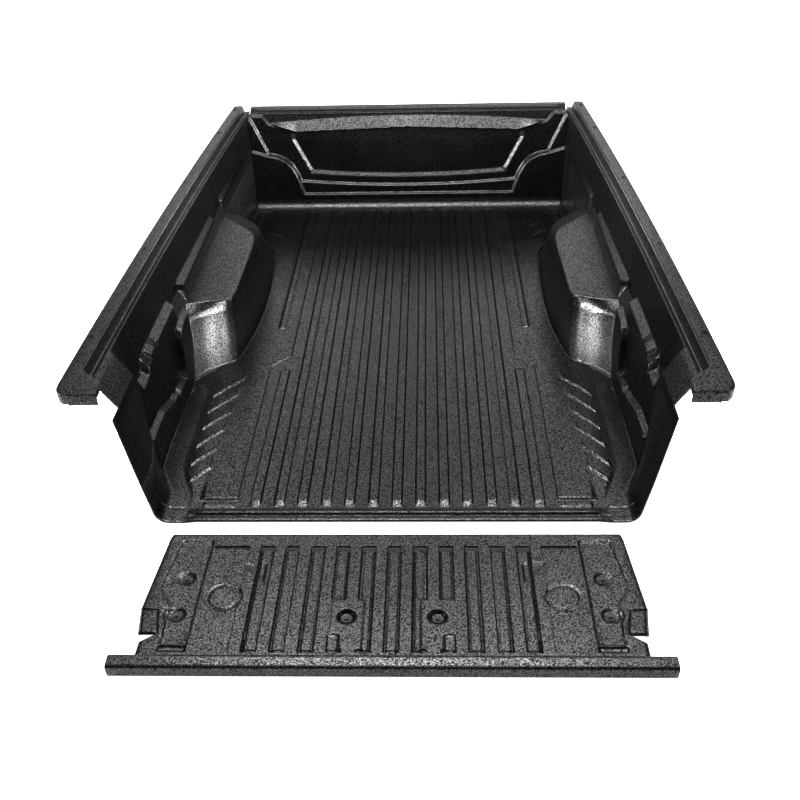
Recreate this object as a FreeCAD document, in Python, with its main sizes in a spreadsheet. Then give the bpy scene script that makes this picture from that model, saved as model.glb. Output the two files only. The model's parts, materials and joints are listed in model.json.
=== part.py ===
import FreeCAD, Part
import math
import os
import re
import Sketcher

# Over-rail truck bed liner: one thermoformed tub and one thermoformed tailgate liner.
# Frame: +X to the right, +Y towards the front wall (the cab), +Z up, millimetres.
# The origin is the centre of the floor's underside. Outlines below are written with y
# measured forward from the rear sill, and each body's Placement moves them to the frame.

DIMENSIONS = {
    # the moulded sheet
    "sheet": 4.0,
    # floor
    "floor_length": 2185.0,
    "sill_half": 628.0,
    "sill_depth": 24.0,
    "floor_half": 705.0,
    "arch_gap_half": 522.0,
    "rib_pitch": 64.7,
    "rib_width": 29.0,
    "rib_height": 6.0,
    "rib_count": 13.0,
    # side walls
    "shoulder_height": 304.0,
    "shoulder_inner": 701.0,
    "shoulder_outer": 727.0,
    "shoulder_front": 1800.0,
    "post_length": 245.0,
    "post_height": 338.0,
    "corner_radius": 50.0,
    "corner_half": 686.0,
    # wheel arch covers
    "arch_height": 237.0,
    "arch_top_half": 551.0,
    "arch_rear": 700.0,
    "arch_top_rear": 804.0,
    "arch_top_front": 1510.0,
    "arch_front": 1820.0,
    # rails
    "rail_height": 436.0,
    "rail_half": 825.0,
    "rail_bow": 62.0,
    "rail_rear": -32.0,
    "rail_end_half": 716.0,
    "rail_front": 2255.0,
    "rail_land": 50.0,
    "rail_step": 18.0,
    "rail_total": 72.0,
    "rail_skirt": 30.0,
    "front_rail_half": 684.0,
    # front wall relief
    "relief_depth": 22.0,
    "ledge_depth": 12.0,
    "wing_height": 264.0,
    "low_ledge_height": 71.0,
    "high_ledge_height": 116.0,
    "brow_height": 407.0,
    # rail fixings
    "fixing_inset": 16.0,
    "fixing_hole": 3.2,
    "screw_shank": 2.4,
    "screw_head": 6.5,
    "washer_rim": 9.0,
    "washer_thick": 1.2,
    # tailgate liner
    "gate_far": 67.0,
    "gate_depth": 458.0,
    "gate_half_far": 586.0,
    "gate_half_near": 603.0,
    "gate_height": 26.0,
    "gate_rib_length": 347.0,
    "gate_lip_half": 632.0,
    "gate_lip_width": 46.0,
    "gate_lip_height": 45.0,
    "gate_pocket_x": 512.0,
    "gate_pocket_spacing": 120.0,
    "gate_pocket_radius": 24.0,
    "gate_pocket_depth": 9.0,
    "gate_centre_x": 107.0,
}

# distances of the rail screws from the sill, as shares of the rail's run
SCREW_SHARES = (0.114, 0.362, 0.613, 0.860, 0.998)

doc = FreeCAD.newDocument("truck_bed_liner")
sheet = doc.addObject("Spreadsheet::Sheet", "dims")


def fill_sheet():
    """Write each driving dimension and its alias in a row of the sheet."""
    for row, (name, value) in enumerate(DIMENSIONS.items(), start=1):
        sheet.set("A%d" % row, name)
        sheet.set("B%d" % row, str(value))
        sheet.setAlias("B%d" % row, name)
    doc.recompute()


def linked(text):
    """Turn the dimension names in a formula into references to the sheet."""
    return re.sub(r"[a-z_]+", lambda m: "dims." + m.group() if m.group() in DIMENSIONS else m.group(), text)


def new_body(name):
    """A body whose placement puts the sill frame into the part's frame."""
    body = doc.addObject("PartDesign::Body", name)
    body.Label = name
    body.setExpression("Placement.Base.y", linked("-floor_length / 2"))
    return body


def new_sketch(body, name, plane="XY_Plane", offset="0"):
    """An empty sketch on one of the body's own origin planes, moved along its normal."""
    sketch = body.newObject("Sketcher::SketchObject", name)
    base = [item for item in body.Origin.OriginFeatures if item.Role == plane][0]
    sketch.AttachmentSupport = [(base, "")]
    sketch.MapMode = "FlatFace"
    sketch.setExpression("AttachmentOffset.Base.z", linked(offset))
    sketch.recompute()
    return sketch


def pin(sketch, corner):
    """A reference point held at two formulas; returns its index and solved position."""
    index = sketch.addGeometry(Part.Point(FreeCAD.Vector(1, 1, 0)), True)
    for kind, formula in zip(("DistanceX", "DistanceY"), corner):
        number = sketch.addConstraint(Sketcher.Constraint(kind, -1, 1, index, 1, 1.0))
        sketch.setExpression("Constraints[%d]" % number, linked(formula))
    return index


def outline(sketch, corners, mids=None):
    """A closed outline through corners; mids maps an edge's number to a point its arc passes."""
    mids = mids or {}
    pins = [pin(sketch, corner) for corner in corners]
    mid_pins = {edge: pin(sketch, mid) for edge, mid in mids.items()}
    sketch.recompute()
    places = [sketch.getPoint(index, 1) for index in pins]
    for edge, start in enumerate(places):
        after = (edge + 1) % len(places)
        end = places[after]
        if edge in mid_pins:
            middle = sketch.getPoint(mid_pins[edge], 1)
            curve = Part.Arc(start, middle, end)
            index = sketch.addGeometry(curve, False)
            ends = (1, 2)
            if sketch.getPoint(index, 1).distanceToPoint(start) > 0.01:
                ends = (2, 1)
            sketch.addConstraint(Sketcher.Constraint("PointOnObject", mid_pins[edge], 1, index))
        else:
            index = sketch.addGeometry(Part.LineSegment(start, end), False)
            ends = (1, 2)
        sketch.addConstraint(Sketcher.Constraint("Coincident", index, ends[0], pins[edge], 1))
        sketch.addConstraint(Sketcher.Constraint("Coincident", index, ends[1], pins[after], 1))
    sketch.recompute()
    return sketch


def circles(sketch, centres, radius):
    """Circles of one radius at centres given as pairs of formulas."""
    for centre in centres:
        index = pin(sketch, centre)
        sketch.recompute()
        place = sketch.getPoint(index, 1)
        ring = sketch.addGeometry(Part.Circle(place, FreeCAD.Vector(0, 0, 1), 5.0), False)
        sketch.addConstraint(Sketcher.Constraint("Coincident", ring, 3, index, 1))
        number = sketch.addConstraint(Sketcher.Constraint("Radius", ring, 5.0))
        sketch.setExpression("Constraints[%d]" % number, linked(radius))
    sketch.recompute()
    return sketch


def pad(body, sketch, length, down=False):
    """Pad a sketch along its normal, or against it."""
    feature = body.newObject("PartDesign::Pad", sketch.Name + "_pad")
    feature.Profile = sketch
    feature.setExpression("Length", linked(length))
    feature.Reversed = down
    feature.recompute()
    return feature


def pocket(body, sketch, length, up=False):
    """Cut a sketch into the body, down its normal unless told otherwise."""
    feature = body.newObject("PartDesign::Pocket", sketch.Name + "_cut")
    feature.Profile = sketch
    feature.setExpression("Length", linked(length))
    feature.Reversed = up
    feature.recompute()
    return feature


def loft(body, first, second, cut=False):
    """A straight-sided loft from one sketch to the next, added or cut away."""
    kind = "PartDesign::SubtractiveLoft" if cut else "PartDesign::AdditiveLoft"
    feature = body.newObject(kind, first.Name + "_loft")
    feature.Profile = first
    feature.Sections = [second]
    feature.Ruled = True
    feature.recompute()
    return feature


def row_of(body, feature, sketch, axis, length, count):
    """Repeat a feature along a sketch axis."""
    pattern = body.newObject("PartDesign::LinearPattern", feature.Name + "_row")
    pattern.Originals = [feature]
    pattern.Direction = (sketch, [axis])
    pattern.setExpression("Length", linked(length))
    pattern.setExpression("Occurrences", linked(count))
    body.Tip = pattern
    pattern.recompute()
    return pattern


def signed(side, corners):
    """Corners for the right side as written, or mirrored in x for the left."""
    if side == "right":
        return corners
    return [("-(%s)" % x, y) for x, y in corners]


def both_sides(corners):
    """A closed outline from its right half, listed from the rear centre to the front centre."""
    mirrored = [("-(%s)" % x, y) for x, y in reversed(corners)]
    return corners + mirrored


def rail_edge(inset, y):
    """Half width of the bowed rail line, moved inwards by inset, at a distance y from the sill."""
    return "rail_half - rail_bow * ((%s) / rail_front) ^ 2 - (%s)" % (y, inset)


def rail_band(inset_out, inset_in, y_rear, y_front):
    """Corners and arc points of a strip that follows the rail's bow."""
    middle = "((%s + %s) / 2)" % (y_rear, y_front)
    corners = [
        (rail_edge(inset_in, y_rear), y_rear),
        (rail_edge(inset_out, y_rear), y_rear),
        (rail_edge(inset_out, y_front), y_front),
        (rail_edge(inset_in, y_front), y_front),
    ]
    mids = {
        1: (rail_edge(inset_out, middle), middle),
        3: (rail_edge(inset_in, middle), middle),
    }
    return corners, mids


def band_sketch(body, name, side, band, height):
    """A sketch of a rail strip on one side at a height."""
    corners, mids = band
    edges = sorted(mids)
    moved = dict(zip(edges, signed(side, [mids[edge] for edge in edges])))
    return outline(new_sketch(body, name, offset=height), signed(side, corners), moved)


def floor_panel():
    """Flat floor sheet notched round the wheel arches, with its corrugations on top."""
    body = new_body("floor_panel")
    plan = new_sketch(body, "floor_plan")
    half = [
        ("sill_half", "sill_depth"),
        ("sill_half", "112"),
        ("floor_half", "post_length"),
        ("floor_half", "arch_rear"),
        ("arch_top_half", "arch_top_rear + 20"),
        ("arch_gap_half", "arch_top_rear + 110"),
        ("arch_gap_half + 8", "arch_front - 200"),
        ("floor_half - 15", "arch_front"),
        ("corner_half", "floor_length - corner_radius"),
        ("corner_half - corner_radius", "floor_length"),
    ]
    outline(plan, both_sides(half))
    pad(body, plan, "sheet")
    rib = new_sketch(body, "first_rib", offset="sheet")
    left = "-rib_pitch * (rib_count - 1) / 2 - rib_width / 2"
    right = "-rib_pitch * (rib_count - 1) / 2 + rib_width / 2"
    rear, front = "3 * sill_depth", "floor_length - 2 * corner_radius"
    outline(rib, [(left, rear), (right, rear), (right, front), (left, front)])
    first = pad(body, rib, "rib_height")
    row_of(body, first, rib, "H_Axis", "rib_pitch * (rib_count - 1)", "rib_count")


def rear_lip():
    """The rounded edge that ends the floor at the sill."""
    body = new_body("rear_lip")
    plan = new_sketch(body, "lip_plan")
    corners = [("-sill_half", "0"), ("sill_half", "0"), ("sill_half", "sill_depth"), ("-sill_half", "sill_depth")]
    outline(plan, corners)
    lip = pad(body, plan, "2 * sheet")
    rounding = body.newObject("PartDesign::Fillet", "lip_round")
    top_rear = [
        "Edge%d" % number
        for number, edge in enumerate(lip.Shape.Edges, start=1)
        if edge.Length > 100 and edge.CenterOfMass.y < 1 and edge.CenterOfMass.z > 1
    ]
    rounding.Base = (lip, top_rear)
    rounding.setExpression("Radius", linked("sheet"))
    doc.recompute()


def front_panel():
    """Front wall sheet with its stepped relief: side fields, two ledges and the brow."""
    body = new_body("front_panel")
    field = new_sketch(body, "front_field", "XZ_Plane", "-floor_length")
    top = "rail_height - rail_step - sheet"
    side = "corner_half - corner_radius"
    outline(field, [("-(%s)" % side, "0"), (side, "0"), (side, top), ("-(%s)" % side, top)])
    pad(body, field, "sheet", down=True)
    for name in ("right", "left"):
        wing = new_sketch(body, name + "_field", "XZ_Plane", "-floor_length")
        corners = signed(name, [
            (side, "2 * sheet"), (side, "wing_height"), ("610", "wing_height - 14"),
            ("535", "wing_height - 38"), ("488", "wing_height - 104"), ("458", "2 * sheet"),
        ])
        outline(wing, corners, dict(zip([3], signed(name, [("516", "wing_height - 62")]))))
        pad(body, wing, "relief_depth")
    for name, height, depth in (
        ("low_ledge", "low_ledge_height", "relief_depth"),
        ("high_ledge", "high_ledge_height", "ledge_depth"),
    ):
        step = new_sketch(body, name, "XZ_Plane", "-floor_length")
        outline(step, [("-484", "2 * sheet"), ("484", "2 * sheet"), ("484", height), ("-484", height)])
        pad(body, step, depth)
    brow = new_sketch(body, "brow", "XZ_Plane", "-floor_length")
    corners = [
        ("-600", "brow_height - 30"), ("-485", "brow_height - 63"),
        ("485", "brow_height - 63"), ("600", "brow_height - 30"),
    ]
    outline(brow, corners, {1: ("0", "brow_height - 46"), 3: ("0", "brow_height")})
    pad(body, brow, "ledge_depth")


def front_corner(side):
    """Quarter-round upright between the side wall and the front wall."""
    body = new_body(side + "_front_corner")
    plan = new_sketch(body, side + "_corner_plan")
    shift = "corner_half - corner_radius"
    turn = math.sqrt(0.5)
    corners = [
        ("corner_half", "floor_length - corner_radius"),
        ("corner_half + sheet", "floor_length - corner_radius"),
        (shift, "floor_length + sheet"),
        (shift, "floor_length"),
    ]
    mids = {
        1: (
            "%s + (corner_radius + sheet) * %.4f" % (shift, turn),
            "floor_length - corner_radius + (corner_radius + sheet) * %.4f" % turn,
        ),
        3: (
            "%s + corner_radius * %.4f" % (shift, turn),
            "floor_length - corner_radius + corner_radius * %.4f" % turn,
        ),
    }
    edges = sorted(mids)
    moved = dict(zip(edges, signed(side, [mids[edge] for edge in edges])))
    outline(plan, signed(side, corners), moved)
    pad(body, plan, "rail_height - rail_step - sheet")


def lower_wall(side):
    """Wall from the floor to the shoulder, open where the wheel housing comes through."""
    body = new_body(side + "_lower_wall")
    plan = new_sketch(body, side + "_lower_plan")
    inner = [
        ("floor_half", "post_length"),
        ("floor_half", "arch_top_front"),
        ("floor_half - 8", "shoulder_front"),
        ("corner_half", "floor_length - corner_radius"),
    ]
    outer = [("%s + sheet" % x, y) for x, y in reversed(inner)]
    outline(plan, signed(side, inner + outer))
    pad(body, plan, "shoulder_height - sheet")
    start = "floor_half - 20" if side == "right" else "-floor_half - 20"
    housing = new_sketch(body, side + "_housing", "YZ_Plane", start)
    outline(housing, [
        ("arch_rear", "0"), ("arch_front", "0"), ("arch_top_front", "arch_height"), ("arch_top_rear", "arch_height"),
    ])
    pocket(body, housing, "40", up=True)


def shoulder(side):
    """Narrow level shelf between the lower and the upper wall."""
    body = new_body(side + "_shoulder")
    plan = new_sketch(body, side + "_shoulder_plan", offset="shoulder_height - sheet")
    corners = [
        ("shoulder_inner", "post_length"),
        ("shoulder_outer + sheet", "post_length"),
        ("shoulder_outer - 14", "arch_top_front"),
        ("shoulder_inner + 2", "shoulder_front"),
        ("shoulder_inner - 6", "shoulder_front"),
        ("shoulder_inner", "arch_top_front"),
    ]
    outline(plan, signed(side, corners))
    pad(body, plan, "sheet")


def upper_wall(side):
    """Wall from the shoulder to the rail's inner ledge, following the rail's bow at its top."""
    body = new_body(side + "_upper_wall")
    front, middle = "floor_length - corner_radius", "(floor_length - corner_radius) / 2"
    low_corners = [
        ("shoulder_outer", "60"),
        ("shoulder_outer + sheet", "60"),
        ("corner_half + sheet", front),
        ("corner_half", front),
    ]
    low_mids = {1: ("shoulder_outer + sheet - 10", middle), 3: ("shoulder_outer - 10", middle)}
    low = band_sketch(body, side + "_wall_foot", side, (low_corners, low_mids), "shoulder_height")
    band = rail_band("rail_total", "rail_total + sheet", "60", front)
    high = band_sketch(body, side + "_wall_head", side, band, "rail_height - rail_step - sheet")
    loft(body, low, high)


def rear_post(side):
    """Upright that draws the wall in towards the tailgate opening."""
    body = new_body(side + "_rear_post")
    foot = [
        ("sill_half", "0"), ("sill_half + sheet", "0"), ("sill_half + sheet", "110"),
        ("floor_half + sheet", "post_length"), ("floor_half", "post_length"), ("sill_half", "112"),
    ]
    lean = [
        ("floor_half - 6", "0"), ("floor_half + sheet - 6", "0"), ("floor_half + sheet - 2", "110"),
        ("floor_half + sheet", "post_length"), ("floor_half", "post_length"), ("floor_half - 2", "112"),
    ]
    low = outline(new_sketch(body, side + "_post_foot"), signed(side, foot))
    high = outline(new_sketch(body, side + "_post_head", offset="post_height"), signed(side, lean))
    loft(body, low, high)


def post_cap(side):
    """Sloping gusset that closes the gap between the post's head and the rail."""
    body = new_body(side + "_post_cap")
    foot = [
        ("floor_half - 6", "0"), ("shoulder_outer + 5", "0"),
        ("shoulder_outer + 5", "post_length - 40"), ("floor_half - 2", "post_length - 40"),
    ]
    head = [
        ("shoulder_outer + 1", "40"), ("shoulder_outer + 5", "40"),
        ("shoulder_outer + 5", "post_length - 80"), ("shoulder_outer + 1", "post_length - 80"),
    ]
    low = outline(new_sketch(body, side + "_cap_foot", offset="post_height"), signed(side, foot))
    high = outline(
        new_sketch(body, side + "_cap_head", offset="rail_height - rail_step - sheet"), signed(side, head))
    loft(body, low, high)


def arch_cover(side):
    """Hollow cover over the wheel housing, open below and on its outer side."""
    body = new_body(side + "_arch_cover")
    foot = [
        ("floor_half", "arch_rear"),
        ("floor_half", "arch_front"),
        ("arch_gap_half + 8", "arch_front - 200"),
        ("arch_gap_half", "arch_top_rear + 110"),
        ("arch_top_half", "arch_top_rear + 20"),
    ]
    crown = [
        ("floor_half", "arch_top_rear"),
        ("floor_half", "arch_top_front"),
        ("arch_top_half", "arch_top_front - 200"),
        ("arch_top_half", "arch_top_rear + 110"),
        ("arch_top_half + 4", "arch_top_rear + 62"),
    ]
    hollow_foot = [
        ("floor_half + 1", "arch_rear + sheet"),
        ("floor_half + 1", "arch_front - sheet"),
        ("arch_gap_half + 8 + sheet", "arch_front - 200 - sheet"),
        ("arch_gap_half + sheet", "arch_top_rear + 110 + sheet"),
        ("arch_top_half + sheet", "arch_top_rear + 22 + sheet"),
    ]
    hollow_crown = [
        ("floor_half + 1", "arch_top_rear + sheet"),
        ("floor_half + 1", "arch_top_front - sheet"),
        ("arch_top_half + sheet", "arch_top_front - 200 - sheet"),
        ("arch_top_half + sheet", "arch_top_rear + 110 + sheet"),
        ("arch_top_half + 4 + sheet", "arch_top_rear + 64 + sheet"),
    ]
    low = outline(new_sketch(body, side + "_arch_foot"), signed(side, foot))
    high = outline(new_sketch(body, side + "_arch_crown", offset="arch_height"), signed(side, crown))
    loft(body, low, high)
    low = outline(new_sketch(body, side + "_hollow_foot"), signed(side, hollow_foot))
    high = outline(
        new_sketch(body, side + "_hollow_crown", offset="arch_height - sheet"), signed(side, hollow_crown))
    loft(body, low, high, cut=True)


def fixing_places(side):
    """Centres of one rail's screws."""
    rows = ["(%s * (rail_front - 45))" % share for share in SCREW_SHARES]
    return signed(side, [(rail_edge("fixing_inset", y), y) for y in rows])


def rail_cap(side):
    """Channel that wraps the truck's bed rail: skirt, land, step and ledge, and a wider rear end."""
    body = new_body(side + "_rail_cap")
    rear, front = "rail_rear", "rail_front"
    strips = (
        ("land", "0", "rail_land", rear, "rail_height - sheet", "sheet"),
        ("skirt", "0", "sheet", rear, "rail_height - rail_skirt", "rail_skirt - sheet"),
        ("step", "rail_land - sheet", "rail_land", rear, "rail_height - rail_step", "rail_step - sheet"),
        ("ledge", "rail_land - sheet", "rail_total + sheet", "60", "rail_height - rail_step - sheet", "sheet"),
    )
    for name, outer, inner, start, height, thickness in strips:
        stop = "(floor_length - corner_radius)" if name == "ledge" else front
        strip = band_sketch(body, side + "_" + name, side, rail_band(outer, inner, start, stop), height)
        pad(body, strip, thickness)
    flat = new_sketch(body, side + "_end_flat", offset="rail_height - sheet")
    outline(flat, signed(side, [
        ("rail_end_half", rear), (rail_edge("sheet", rear), rear),
        (rail_edge("rail_land - 1", "20"), "20"), ("rail_end_half + 15", "20"),
    ]))
    pad(body, flat, "sheet")
    face = new_sketch(body, side + "_end_face", offset="rail_height - rail_skirt")
    outline(face, signed(side, [
        ("rail_end_half", rear), (rail_edge("1", rear), rear),
        (rail_edge("1", rear + " + sheet"), rear + " + sheet"), ("rail_end_half", rear + " + sheet"),
    ]))
    pad(body, face, "rail_skirt - 1")
    holes = new_sketch(body, side + "_rail_holes", offset="rail_height + 1")
    circles(holes, fixing_places(side), "fixing_hole")
    pocket(body, holes, "sheet + 2")


def front_rail_cap():
    """The same channel across the front wall, between the two side rails."""
    body = new_body("front_rail_cap")
    half = "front_rail_half"
    strips = (
        ("front_land", "rail_front - rail_land", "rail_front", "rail_height - sheet", "sheet"),
        ("front_skirt", "rail_front - sheet", "rail_front", "rail_height - rail_skirt", "rail_skirt - sheet"),
        (
            "front_step", "rail_front - rail_land", "rail_front - rail_land + sheet",
            "rail_height - rail_step", "rail_step - sheet",
        ),
        (
            "front_ledge", "floor_length", "rail_front - rail_land + sheet",
            "rail_height - rail_step - sheet", "sheet",
        ),
    )
    for name, near, far, height, thickness in strips:
        width = half if name != "front_ledge" else "(corner_half - corner_radius)"
        strip = new_sketch(body, name, offset=height)
        outline(strip, [("-" + width, near), (width, near), (width, far), ("-" + width, far)])
        pad(body, strip, thickness)


def rail_foam(side):
    """Foam strip between the rail cap's land and the truck's painted rail."""
    body = new_body(side + "_rail_foam")
    band = rail_band("fixing_inset + washer_rim", "rail_land - sheet - 3", "60", "rail_front - 60")
    strip = band_sketch(body, side + "_foam_plan", side, band, "rail_height - 2 * sheet")
    pad(body, strip, "sheet")


def front_rail_foam():
    """Foam strip under the front rail cap."""
    body = new_body("front_rail_foam")
    near, far = "rail_front - rail_land + 8", "rail_front - 2 * sheet"
    half = "front_rail_half - 30"
    strip = new_sketch(body, "front_foam_plan", offset="rail_height - 2 * sheet")
    outline(strip, [("-(%s)" % half, near), (half, near), (half, far), ("-(%s)" % half, far)])
    pad(body, strip, "sheet")


def stack(body, prefix, centres, discs):
    """Coaxial discs at each centre; each disc is a radius, a starting height and a length."""
    for number, (radius, height, length) in enumerate(discs):
        ring = new_sketch(body, "%s_%d" % (prefix, number), offset=height)
        circles(ring, centres, radius)
        pad(body, ring, length)


def fastener_group(name, centres, discs, bores=None):
    """One node for identical fasteners: a compound of separate solids, one at each centre."""
    solids = []
    for index, centre in enumerate(centres):
        body = new_body("%s_%d" % (name, index + 1))
        stack(body, "%s_disc_%d" % (name, index + 1), [centre], discs)
        if bores:
            radius, height, length = bores
            hole = new_sketch(body, "%s_bore_%d" % (name, index + 1), offset=height)
            circles(hole, [centre], radius)
            pocket(body, hole, length)
        solids.append(body)
    group = doc.addObject("Part::Compound", name)
    group.Label = name
    group.Links = solids
    doc.recompute()


def rail_fixings():
    """Pan-head screws, washers and clip nuts along both side rails."""
    centres = fixing_places("left") + fixing_places("right")
    seat = "rail_height + washer_thick"
    fastener_group("rail_screws", centres, [
        ("screw_shank", "rail_height - 22", "22 + washer_thick"),
        ("screw_head", seat, "2"),
        ("screw_head * 0.7", seat + " + 2", "1.2"),
    ])
    fastener_group(
        "rail_washers", centres, [("washer_rim", "rail_height", "washer_thick")],
        ("screw_shank + 0.3", seat, "washer_thick"))
    fastener_group(
        "rail_clip_nuts", centres, [("washer_rim", "rail_height - sheet - 3", "3")],
        ("screw_shank + 0.1", "rail_height - sheet", "3"))


def gate_x(share):
    """Half width of the tailgate liner at a share of its depth."""
    return "(gate_half_far + (gate_half_near - gate_half_far) * %s)" % share


def gate_screw_places():
    """Centres of the tailgate liner's six screw pockets."""
    near = "-(gate_far + 283)"
    far = "-(gate_far + 283 - gate_pocket_spacing)"
    centre = "-(gate_far + 291)"
    right = [("gate_pocket_x", far), ("gate_pocket_x", near), ("gate_centre_x", centre)]
    return signed("left", right) + right


def tailgate_panel():
    """Shallow pan with twelve ribs, six screw pockets and notches beside the latches."""
    body = new_body("tailgate_panel")
    plan = new_sketch(body, "gate_plan")
    half = [
        (gate_x("0") + " - 12", "-gate_far"),
        (gate_x("0") + " + 2", "-(gate_far + 20)"),
        (gate_x("1"), "-(gate_far + 266)"),
        ("gate_half_near - 38", "-(gate_far + 266)"),
        ("gate_half_near - 54", "-(gate_far + 344)"),
        ("gate_half_near - 20", "-(gate_far + 368)"),
        ("gate_half_near - 20", "-(gate_far + gate_depth - gate_lip_width)"),
    ]
    outline(plan, both_sides(half))
    pad(body, plan, "gate_height")
    pan = new_sketch(body, "gate_pan", offset="-1")
    inside = [
        ("gate_half_far - 24", "-(gate_far + 2 * sheet)"),
        ("gate_half_near - 62", "-(gate_far + 240)"),
        ("gate_half_near - 62", "-(gate_far + gate_depth - gate_lip_width - 2 * sheet)"),
    ]
    outline(pan, both_sides(inside))
    pocket(body, pan, "gate_height - sheet + 1", up=True)
    bosses = new_sketch(body, "gate_bosses")
    circles(bosses, gate_screw_places(), "gate_pocket_radius + sheet")
    pad(body, bosses, "gate_height")
    rib = new_sketch(body, "gate_rib", offset="gate_height")
    left, right = "-rib_pitch * 5.5 - rib_width / 2", "-rib_pitch * 5.5 + rib_width / 2"
    far, near = "-(gate_far + 50)", "-(gate_far + 50 + gate_rib_length)"
    outline(rib, [(left, near), (right, near), (right, far), (left, far)])
    first = pad(body, rib, "rib_height")
    row_of(body, first, rib, "H_Axis", "rib_pitch * 11", "12")
    wells = new_sketch(body, "gate_wells", offset="gate_height + rib_height + 1")
    circles(wells, gate_screw_places(), "gate_pocket_radius")
    pocket(body, wells, "rib_height + 1 + gate_pocket_depth")
    screws = new_sketch(body, "gate_screw_holes", offset="gate_height + rib_height + 1")
    circles(screws, gate_screw_places(), "fixing_hole")
    pocket(body, screws, "gate_height + rib_height + 2")


def tailgate_lip():
    """Rounded lip that wraps over the tailgate's top edge, which lies outermost when it is open."""
    body = new_body("tailgate_lip")
    near, far = "-(gate_far + gate_depth)", "-(gate_far + gate_depth - gate_lip_width)"
    profile = new_sketch(body, "lip_profile", "YZ_Plane", "-gate_lip_half")
    corners = [
        (far, "gate_height - sheet"),
        (far, "gate_height"),
        (far + " - 10", "gate_lip_height"),
        (near + " + 6", "gate_lip_height"),
        (near, "gate_lip_height - 8"),
        (near + " + 8", "6"),
        (near + " + 8 + sheet", "6"),
        (near + " + sheet", "gate_lip_height - 8 - sheet"),
        (near + " + 6 + sheet", "gate_lip_height - sheet"),
        (far + " - 10 - sheet", "gate_lip_height - sheet"),
        (far + " - sheet", "gate_height - sheet"),
    ]
    outline(profile, corners)
    pad(body, profile, "2 * gate_lip_half")


def latch_flap(side):
    """Raised flap beside the tailgate's latch."""
    body = new_body(side + "_latch_flap")
    plan = new_sketch(body, side + "_flap_plan")
    corners = [
        ("gate_half_near - 38", "-(gate_far + 266)"),
        ("gate_half_near - 3", "-(gate_far + 266)"),
        ("gate_half_near - 14", "-(gate_far + 344)"),
        ("gate_half_near - 54", "-(gate_far + 344)"),
    ]
    outline(plan, signed(side, corners))
    pad(body, plan, "gate_height - 2")


def tailgate_foam():
    """Foam strips that hold the liner off the tailgate's painted skin."""
    body = new_body("tailgate_foam")
    strip = new_sketch(body, "gate_foam_plan", offset="gate_height - 3 * sheet")
    far, near = "-(gate_far + 45)", "-(gate_far + 70)"
    outline(strip, [("-480", near), ("480", near), ("480", far), ("-480", far)])
    first = pad(body, strip, "2 * sheet")
    row_of(body, first, strip, "V_Axis", "290", "2").Reversed = True


def tailgate_fixings():
    """Pan-head screws and cup washers in the tailgate liner's wells."""
    centres = gate_screw_places()
    seat = "gate_height - gate_pocket_depth"
    fastener_group("tailgate_screws", centres, [
        ("screw_shank", "2", seat + " - 2 + washer_thick"),
        ("screw_head", seat + " + washer_thick", "2"),
        ("screw_head * 0.7", seat + " + washer_thick + 2", "1.2"),
    ])
    fastener_group(
        "tailgate_cup_washers", centres, [("washer_rim + 3", seat, "washer_thick")],
        ("screw_shank + 0.3", seat + " + washer_thick", "washer_thick"))


def finished_nodes():
    """Every body or compound that is a sub-part of its own, not a member of a fastener group."""
    members = [item.Name for group in doc.Objects if group.TypeId == "Part::Compound" for item in group.Links]
    kinds = ("PartDesign::Body", "Part::Compound")
    return [item for item in doc.Objects if item.TypeId in kinds and item.Name not in members]


def write_parts():
    """Check every object and write one STEP file per sub-part."""
    doc.recompute()
    for item in doc.Objects:
        if "Invalid" in item.State or "Error" in item.State:
            raise RuntimeError("%s did not build: %s" % (item.Label, item.State))
    os.makedirs("parts", exist_ok=True)
    for node in finished_nodes():
        if node.Shape.isNull() or not node.Shape.isValid() or not node.Shape.Solids:
            raise RuntimeError("%s has no valid solid" % node.Label)
        node.Shape.exportStep("parts/%s.step" % node.Label)


def main():
    fill_sheet()
    floor_panel()
    rear_lip()
    front_panel()
    for side in ("left", "right"):
        front_corner(side)
        lower_wall(side)
        shoulder(side)
        upper_wall(side)
        rear_post(side)
        post_cap(side)
        arch_cover(side)
        rail_cap(side)
        rail_foam(side)
        latch_flap(side)
    front_rail_cap()
    front_rail_foam()
    tailgate_panel()
    tailgate_lip()
    tailgate_foam()
    rail_fixings()
    tailgate_fixings()
    write_parts()


main()
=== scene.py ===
"""Truck bed liner: the tub's and the tailgate liner's moulded skins, materials, lights and camera.

Shape functions work in millimetres, with y measured forward from the rear sill. place() turns such
points into the frame's metres. In them a is a distance to either side of the centre plane.
Right-hand walls and rails are built, and mirrored for the left.
"""

import json
import math

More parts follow.
